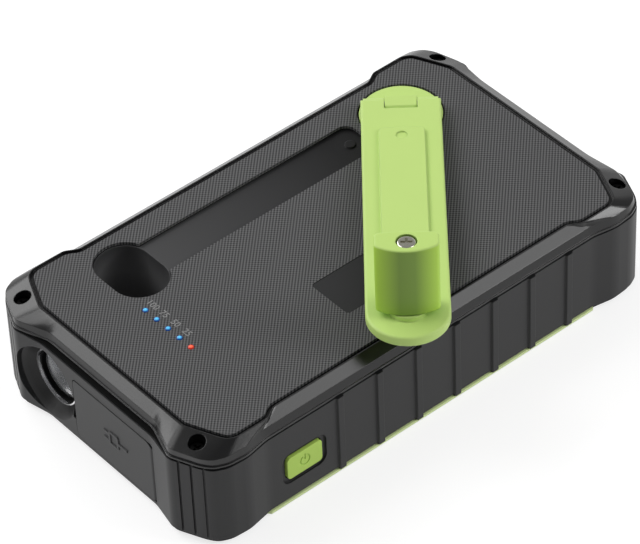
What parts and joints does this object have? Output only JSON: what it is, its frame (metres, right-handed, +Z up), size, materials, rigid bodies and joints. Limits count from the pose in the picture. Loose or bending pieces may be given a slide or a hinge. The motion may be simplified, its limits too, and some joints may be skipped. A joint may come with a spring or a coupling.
{
  "type": "hand crank phone charger",
  "caption": "Pocket power bank with a folding hand crank, geared generator, torch, charge lights, capped sockets and a power button.",
  "frame": {"origin": "centre of the case's flat underside, on the surface it lies on", "axes": "+X along the case away from the torch and sockets, +Y across it away from the power button, +Z up out of the panel"},
  "size_m": [0.1546, 0.0979, 0.0629],
  "materials": {
    "case_plastic": "satin black moulded plastic",
    "bumper_rubber": "smooth dark grey rubber",
    "black_rubber": "matt black rubber",
    "panel_texture": "fine woven-look texture",
    "label_plastic": "smooth, bare",
    "tray_plastic": "matt black",
    "black_plastic": "matt black",
    "crank_green": "satin light green",
    "button_green": "satin green",
    "trim_green": "satin light green",
    "blue_light": "clear, lit blue",
    "red_light": "clear, lit red",
    "chrome_trim": "polished",
    "mirror_bowl": "polished",
    "clear_lens": "clear",
    "led_dome": "clear dome",
    "aluminium_board": "white masked",
    "green_board": "solder mask",
    "steel": "zinc plated",
    "dark_steel": "black oxide",
    "ferrite": "ground",
    "chip_black": "moulded",
    "capacitor_can": "plain",
    "cell_foil": "foil pouch",
    "grey_foam": "foam",
    "white_nylon": "natural nylon",
    "brass_part": "turned",
    "copper_wire": "enamelled copper wire"
  },
  "bodies": {
    "case": {"rear_cover": "case_plastic", "rear_trim_ring": "trim_green", "side_bumper": "bumper_rubber", "case_gasket": "black_rubber", "top_shell": "case_plastic", "top_panel": "panel_texture", "label_plate": "label_plastic", "crank_tray": "tray_plastic", "corner_screws": "dark_steel", "indicator_board": "green_board", "torch_ring": "chrome_trim", "torch_housing": "black_plastic", "torch_lens": "clear_lens", "torch_reflector": "mirror_bowl", "torch_led": "led_dome", "torch_led_board": "aluminium_board", "port_cover_pin": "steel", "usb_c_socket": "steel", "usb_socket_left": "steel", "usb_socket_right": "steel", "power_switch": "chip_black", "switch_board": "green_board", "main_board": "green_board", "board_screws": "steel", "boost_inductor": "ferrite", "control_chip": "chip_black", "smoothing_capacitors": "capacitor_can", "battery_cell_lower": "cell_foil", "battery_cell_upper": "cell_foil", "battery_foam_pad": "grey_foam", "battery_cradle": "black_plastic", "battery_strap": "steel", "compound_axle": "steel", "gearbox_base_plate": "steel", "gearbox_top_plate": "steel", "gearbox_pillars": "brass_part", "generator_can": "steel", "stator_core": "dark_steel", "stator_coils": "copper_wire", "hub_bush": "brass_part", "charge_light_100": "blue_light", "charge_light_75": "blue_light", "charge_light_50": "blue_light", "charge_light_25": "blue_light", "low_charge_light": "red_light"},
    "crank_hub": {"crank_hub": "crank_green", "drive_gear": "white_nylon", "drive_gear_screw": "steel", "hinge_pin": "steel"},
    "crank_arm": {"crank_arm": "crank_green", "knob_screw": "chrome_trim"},
    "crank_knob": {"crank_knob": "crank_green"},
    "compound_gear": {"compound_gear": "white_nylon"},
    "generator_rotor": {"rotor_shaft": "brass_part", "rotor_magnet": "ferrite"},
    "power_button": {"power_button": "button_green"},
    "port_cover": {"port_cover": "bumper_rubber"}
  },
  "joints": [
    {"name": "hub_spin", "type": "hinge", "parent": "case", "child": "crank_hub", "pos_m": [0.0477, 0.02385, 0.0318], "axis": [0, 0, 1], "continuous": true},
    {"name": "arm_fold", "type": "hinge", "parent": "crank_hub", "child": "crank_arm", "pos_m": [0.04834, 0.02462, 0.0339], "axis": [-0.766, 0.6428, 0], "range_deg": [0, 155]},
    {"name": "knob_spin", "type": "hinge", "parent": "crank_arm", "child": "crank_knob", "pos_m": [-0.00808, -0.04263, 0.0404], "axis": [0.0336, 0.0401, 0.9986], "continuous": true},
    {"name": "compound_gear_spin", "type": "hinge", "parent": "case", "child": "compound_gear", "pos_m": [0.0477, 0.00545, 0.02], "axis": [0, 0, 1], "continuous": true},
    {"name": "rotor_spin", "type": "hinge", "parent": "case", "child": "generator_rotor", "pos_m": [0.0477, -0.00955, 0.012], "axis": [0, 0, 1], "continuous": true},
    {"name": "power_press", "type": "slide", "parent": "case", "child": "power_button", "axis": [0, 1, 0], "range_m": [0, 0.0005], "stiffness_N_per_m": 600, "springref_m": -0.0005},
    {"name": "port_cover_open", "type": "hinge", "parent": "case", "child": "port_cover", "pos_m": [-0.0748, -0.0216, 0.0131], "axis": [0, 0, 1], "range_deg": [0, 95]}
  ],
  "couplings": [
    {"joint": "compound_gear_spin", "follows": "hub_spin", "ratio": -2.8333},
    {"joint": "rotor_spin", "follows": "hub_spin", "ratio": 11.333}
  ]
}
